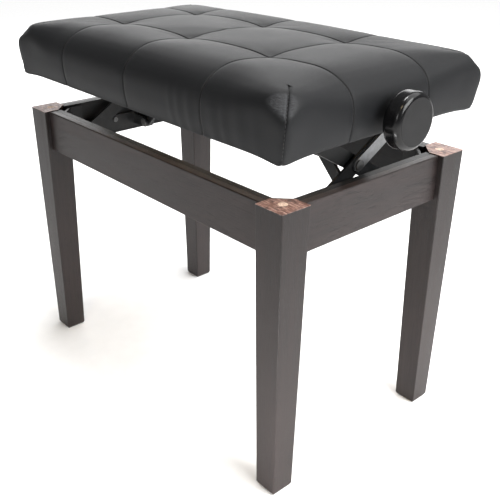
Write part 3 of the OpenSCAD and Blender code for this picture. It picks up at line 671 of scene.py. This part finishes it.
def cut_lines(obj, offsets):
    """Adds edge loops along every seam, at offsets on both sides, and numbers the vertices on each seam."""
    mesh = bmesh.new()
    mesh.from_mesh(obj.data)
    origin = Vector((SEAT_CENTRE.x, SEAT_CENTRE.y, RIM_Z))
    for point, normal, corner in seam_planes():
        near = []
        for face in mesh.faces:
            c = face.calc_center_median() - origin
            if abs((c - point).dot(normal)) > CUT_REACH:
                continue
            if corner and (c.z < 1 * MM or not in_corner(c.x, c.y, corner, CORNER_REACH)):
                continue
            near.append(face)
        edges = dict.fromkeys(e for f in near for e in f.edges)
        verts = dict.fromkeys(v for f in near for v in f.verts)
        geom = [*near, *edges, *verts]
        for offset in offsets:
            geom = bmesh.ops.bisect_plane(mesh, geom=geom, plane_co=origin + point + normal * offset,
                                          plane_no=normal, dist=1e-5)["geom"]
    mesh.to_mesh(obj.data)
    mesh.free()
    local = from_seat_centre(coordinates(obj.data))
    number = np.zeros(len(local), np.int32)
    for index, (point, normal, corner) in enumerate(seam_planes()):
        on_plane = np.abs((local - np.array(point)) @ np.array(normal)) < 5e-6
        if corner:
            on_plane &= in_corner(local[:, 0], local[:, 1], corner, CORNER_REACH)
        number[on_plane] = index + 1
    obj.data.attributes.new("seam_number", "INT", "POINT").data.foreach_set("value", number)


def seam_paths(obj):
    """Points and normals along each numbered seam of the finished cover, in order."""
    mesh = obj.data
    points = coordinates(mesh)
    normals = vertex_normals(mesh)
    number = np.zeros(len(points), np.int32)
    mesh.attributes["seam_number"].data.foreach_get("value", number)
    local = from_seat_centre(points)
    paths = []
    for index, (_, _, corner) in enumerate(seam_planes()):
        chosen = (number == index + 1) & (local[:, 2] > 1.5 * MM)
        if corner:
            chosen &= local[:, 2] < SEAM_TOP + 1 * MM
            order = local[:, 2]
        else:
            across = local[:, 1] if index < len(SEAMS_X) else local[:, 0]
            order = np.arctan2(across, local[:, 2] - 30 * MM)
        where = np.flatnonzero(chosen)
        where = where[np.argsort(order[where])]
        paths.append((points[where], normals[where]))
    return paths


def stitches(obj, pitch=4.4 * MM, length=3.1 * MM, radius=0.34 * MM):
    """One short bent thread after another along every seam."""
    verts, faces = [], []
    profile = (0.35, 0.9, 1.0, 0.9, 0.35)
    sides = 6
    for path, normals in seam_paths(obj):
        steps = np.linalg.norm(np.diff(path, axis=0), axis=1)
        keep = np.concatenate(([True], steps > 1e-6))
        path, normals = path[keep], normals[keep]
        travel = np.concatenate(([0], np.cumsum(np.linalg.norm(np.diff(path, axis=0), axis=1))))
        at = 0.8 * MM
        while at + length < travel[-1]:
            places = at + length * np.linspace(0, 1, len(profile))
            middle = np.column_stack([np.interp(places, travel, path[:, i]) for i in range(3)])
            out = np.column_stack([np.interp(places, travel, normals[:, i]) for i in range(3)])
            out /= np.linalg.norm(out, axis=1, keepdims=True)
            along = middle[-1] - middle[0]
            along /= np.linalg.norm(along)
            base = len(verts)
            for k, share in enumerate(profile):
                side = np.cross(along, out[k])
                side /= np.linalg.norm(side)
                centre = middle[k] + out[k] * (0.35 * share) * radius
                for j in range(sides):
                    turn = 2 * math.pi * j / sides
                    verts.append(centre + radius * share * (math.cos(turn) * side + math.sin(turn) * out[k]))
            for k in range(len(profile) - 1):
                for j in range(sides):
                    a, b = base + k * sides + j, base + k * sides + (j + 1) % sides
                    faces.append((a, b, b + sides, a + sides))
            faces.append(tuple(base + j for j in reversed(range(sides))))
            faces.append(tuple(base + (len(profile) - 1) * sides + j for j in range(sides)))
            at += pitch
    mesh = bpy.data.meshes.new("seam_stitches")
    mesh.from_pydata([tuple(v) for v in verts], [], faces)
    mesh.materials.append(thread_material())
    made = bpy.data.objects.new("seam_stitches", mesh)
    scene.collection.objects.link(made)
    smooth_shading(made)
    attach(made, "seat")


# Upright folds of the skirt near the front right corner: distance from the seat's centre, width and height
SKIRT_FOLDS_MM = ((96, 5, 0.5), (112, 6, 0.7), (131, 6, 0.8), (151, 5, 0.6), (171, 8, 0.9), (190, 6, 0.7),
                  (214, 9, 0.8), (238, 7, 0.5))


def sculpt(obj):
    """Sews the seams in, pinches the corners and adds the soft folds, on the final mesh."""
    mesh = obj.data
    points = coordinates(mesh)
    normals = vertex_normals(mesh)
    local = from_seat_centre(points)
    x, y, z = local.T

    # Sewn seams across the top and down the sides, and the hem
    on_x_face = np.abs(normals[:, 0]) > 0.8
    on_y_face = np.abs(normals[:, 1]) > 0.8
    away_x = nearest_line(x, SEAMS_X) + np.where(on_x_face, 1.0, 0.0)
    away_y = nearest_line(y, SEAMS_Y) + np.where(on_y_face, 1.0, 0.0)
    underside = (np.abs(z) < 0.5 * MM) & (normals[:, 2] < -0.5)
    away = np.where(underside, 1.0, np.minimum(away_x, away_y))
    depth = sum(deep * bell(away, wide) for deep, wide in GROOVE)
    depth *= 1 - 0.5 * (1 - smooth_step(z, 2 * MM, 9 * MM))
    hem = HEM_SWELL * bell(z - HEM_HEIGHT, HEM_WIDTH) * (np.abs(normals[:, 2]) < 0.7)
    moved = normals * (hem - depth)[:, None]
    seam = bell(away, 1.05 * MM)

    # Soft upright folds in the front skirt
    front = (y < -RIM_Y * 0.97) & on_y_face
    lean = 0.08 * (z - 20 * MM)
    fade = 1 - smooth_step(z, 26 * MM, 58 * MM)
    for place, width, height in SKIRT_FOLDS_MM:
        wave = height * MM * bell(x - place * MM + lean, width * MM) * fade
        moved[:, 1] -= np.where(front, wave - 0.3 * height * MM * fade, 0)

    # Upright seams in the pinched corners
    over = chamfer_push(local - corner_lean(local))[1]
    crinkle_and_sheen = np.zeros(len(x))
    for point, normal, corner in seam_planes():
        if corner is None:
            continue
        near = in_corner(x, y, corner, PINCH_REACH)
        split = np.abs((local - np.array(point)) @ np.array(normal))
        upright = near & (z > 1 * MM) & (z < SEAM_TOP)
        line = bell(split, 1.1 * MM) * upright
        hollow = bell(split, 4.5 * MM) * smooth_step(z, 30 * MM, 60 * MM) * near
        pinch = bell(z - SEAM_TOP, 3.0 * MM) * bell(split, 3.0 * MM) * near
        inward = (line * SEAM_IN_MM + hollow * HOLLOW_IN_MM + pinch * PINCH_IN_MM) * MM
        moved[:, 0] -= corner[0] * inward
        moved[:, 1] -= corner[1] * inward
        moved[:, 2] -= SEAM_DOWN_MM * MM * line * np.clip(normals[:, 2], 0, 1)
        ear = bell(z - SEAM_TOP - 3 * MM, 4 * MM) * bell(split - 7 * MM, 4.5 * MM) * near
        moved[:, 2] += EAR_UP_MM * MM * ear
        seam = np.maximum(seam, bell(split, 1.0 * MM) * upright)
        # Mask of the crinkled corner facets: it drives their bump and their painted sheen
        crinkle_and_sheen = np.maximum(crinkle_and_sheen, near * smooth_step(over, -5 * MM, -0.5 * MM) * (z > 40 * MM))

    # Crisp turned-under rim, fuller and hanging lower at the corners
    rim_x, rim_y = RIM_X - np.abs(x), RIM_Y - np.abs(y)
    sharp = bell(np.minimum(np.abs(rim_x), np.abs(rim_y)), 3.0 * MM) * bell(z, 3.0 * MM)
    beside = rim_x + rim_y
    full = (bell(beside, 16 * MM) + 1.6 * bell(beside, 6 * MM)) * (1 - smooth_step(z, 6 * MM, 30 * MM))
    belly = bell(beside, 26 * MM) * bell(z - 38 * MM, 17 * MM)
    low = (1 - smooth_step(z, 0, 36 * MM)) * (HANG_MM + CORNER_HANG_MM * bell(beside, 30 * MM))
    moved[:, 2] -= (sharp + low) * MM
    for axis, (place, edge) in enumerate(((x, rim_x), (y, rim_y))):
        outward = RIM_OUT_MM * sharp * (np.abs(edge) < 6 * MM) + FULL_OUT_MM * full + BELLY_OUT_MM * belly
        moved[:, axis] += np.sign(place) * outward * MM
    set_coordinates(mesh, points + moved)
    for name, values in (("seam", seam), ("crinkle_and_sheen", crinkle_and_sheen)):
        layer = mesh.attributes.new(name, "FLOAT", "POINT")
        layer.data.foreach_set("value", values.astype(np.float32))


def open_underneath(obj):
    """Cuts the recess under the seat out of the cover, and the hole for the knob's shaft."""
    mesh = bmesh.new()
    mesh.from_mesh(obj.data)
    gone = []
    for face in mesh.faces:
        c = face.calc_center_median() - Vector((SEAT_CENTRE.x, SEAT_CENTRE.y, RIM_Z))
        if c.z < 2 * MM and abs(c.x) < RIM_X - TURNED_UNDER and abs(c.y) < RIM_Y - TURNED_UNDER:
            gone.append(face)
        elif c.x > RIM_X - 5 * MM and math.hypot(c.y, c.z + RIM_Z - SHAFT_Z) < SHAFT_HOLE:
            gone.append(face)
    bmesh.ops.delete(mesh, geom=gone, context="FACES")
    mesh.to_mesh(obj.data)
    mesh.free()


def smooth_shading(obj):
    """Shades every face smooth."""
    obj.data.polygons.foreach_set("use_smooth", [True] * len(obj.data.polygons))


def make_cushion():
    """The tufted leatherette cushion."""
    obj = cushion_block(shrink=2.0 * MM)
    remesh = obj.modifiers.new("Remesh", "REMESH")
    remesh.mode = "VOXEL"
    remesh.voxel_size = VOXEL
    apply_modifiers(obj)
    simulate(obj)
    subdivide = obj.modifiers.new("Subdivision", "SUBSURF")
    subdivide.levels = subdivide.render_levels = 1
    apply_modifiers(obj)
    cut_lines(obj, [k * MM for k in (-3.2, -1.6, -0.7, 0, 0.7, 1.6, 3.2)])
    sculpt(obj)
    stitches(obj)
    open_underneath(obj)
    shell = obj.modifiers.new("Thickness", "SOLIDIFY")
    shell.thickness = COVER_THICK
    shell.offset = -1
    apply_modifiers(obj)
    obj.data.materials.clear()
    obj.data.materials.append(leatherette())
    smooth_shading(obj)
    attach(obj, "seat")
    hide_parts("seat_cover", "seat_foam", "side_padding")


# ---------------------------------------------------------------- stage

CAMERA_PLACE = Vector((0.7466, -0.6497, 0.6866))
CAMERA_TURNS = (49.556, 25.479, -0.121)       # yaw, downward pitch and roll, in degrees
CAMERA_LENS = 52.94
CAMERA_SHIFT = (0.0438, -0.0221)
FLOOR_REACH = 12
FLOOR_DROP = 0.3 * MM                         # how far the floor lies below the feet
SURROUNDINGS = 0.3                            # strength of the white surroundings
SUN_PLACE = Vector((0.35, 0.55, 1.0))
SUN_STRENGTH = 2.6
SUN_SPREAD = math.radians(60)
KNOB_PLACE = (0.29, 0, 0.47)
WHITE = (1, 1, 1)

# Each soft light: name, place, the point it is aimed at, size, power and colour
LIGHTS = (
    ("right_side", (2.1, 0.3, 1.6), (0.1, 0, 0.25), (1.6, 1.2), 78, WHITE),
    ("behind", (-2.0, 2.0, 1.3), (0, 0, 0.4), (3.2, 1.8), 60, WHITE),
    ("low_front", (0.42, -0.46, 0.03), (0.25, -0.15, 0.02), (0.3, 0.05), 1.5, WHITE),
    ("knob_high", (-0.09, 0.15, 2.45), KNOB_PLACE, (0.6, 0.4), 26, WHITE),
    ("knob_warm", (0.85, -1.03, 2.12), KNOB_PLACE, (0.2, 0.3), 7, (1, 0.8, 0.5)),
    ("knob_low", (0.75, -1.85, 1.15), KNOB_PLACE, (0.4, 0.6), 6, WHITE))


def make_camera():
    """Camera at the reference view's place, in the row frame."""
    yaw, pitch, roll = (math.radians(a) for a in CAMERA_TURNS)
    forward = Vector((-math.sin(yaw) * math.cos(pitch), math.cos(yaw) * math.cos(pitch), -math.sin(pitch)))
    right = forward.cross(Vector((0, 0, 1))).normalized()
    up = right.cross(forward)
    right, up = (right * math.cos(roll) + up * math.sin(roll), up * math.cos(roll) - right * math.sin(roll))
    data = bpy.data.cameras.new("camera")
    data.lens = CAMERA_LENS
    data.sensor_width = 36
    data.shift_x, data.shift_y = CAMERA_SHIFT
    data.clip_end = 50
    made = bpy.data.objects.new("camera", data)
    made.matrix_world = Matrix((right, up, -forward)).transposed().to_4x4()
    made.matrix_world.translation = CAMERA_PLACE
    scene.collection.objects.link(made)
    scene.camera = made


def area_light(name, place, target, size, power, colour):
    """Soft rectangular light aimed at a point, unseen by the camera."""
    data = bpy.data.lights.new(name, "AREA")
    data.shape = "RECTANGLE"
    data.size, data.size_y = size
    data.energy = power
    data.color = colour
    made = bpy.data.objects.new(name, data)
    made.location = place
    made.rotation_euler = (Vector(target) - Vector(place)).to_track_quat("-Z", "Y").to_euler()
    made.visible_camera = False
    scene.collection.objects.link(made)


def make_stage():
    """Pale floor, white surroundings, a wide sun and the soft lights."""
    scene.view_settings.view_transform = "Standard"
    world = bpy.data.worlds.new("studio")
    world.use_nodes = True
    world.node_tree.nodes["Background"].inputs["Color"].default_value = (1, 1, 1, 1)
    world.node_tree.nodes["Background"].inputs["Strength"].default_value = SURROUNDINGS
    scene.world = world
    made, tree, shader = new_material("studio_floor", Roughness=0.9, Specular_IOR_Level=0.1)
    paper = noise(tree, (40, 40, 40), detail=4.0)
    connect(tree, shader, Base_Color=ramp(tree, paper, PAPER))
    mesh = bpy.data.meshes.new("floor")
    corners = [(x * FLOOR_REACH, y * FLOOR_REACH, 0) for x, y in ((-1, -1), (1, -1), (1, 1), (-1, 1))]
    mesh.from_pydata(corners, [], [(0, 1, 2, 3)])
    mesh.materials.append(made)
    floor = bpy.data.objects.new("floor", mesh)
    floor.location.z = -FLOOR_DROP
    scene.collection.objects.link(floor)
    sun = bpy.data.lights.new("sun", "SUN")
    sun.energy = SUN_STRENGTH
    sun.angle = SUN_SPREAD
    made = bpy.data.objects.new("sun", sun)
    made.rotation_euler = (-SUN_PLACE).to_track_quat("-Z", "Y").to_euler()
    scene.collection.objects.link(made)
    for light in LIGHTS:
        area_light(*light)


make_camera()
make_stage()
dress_cad_nodes()
make_cushion()
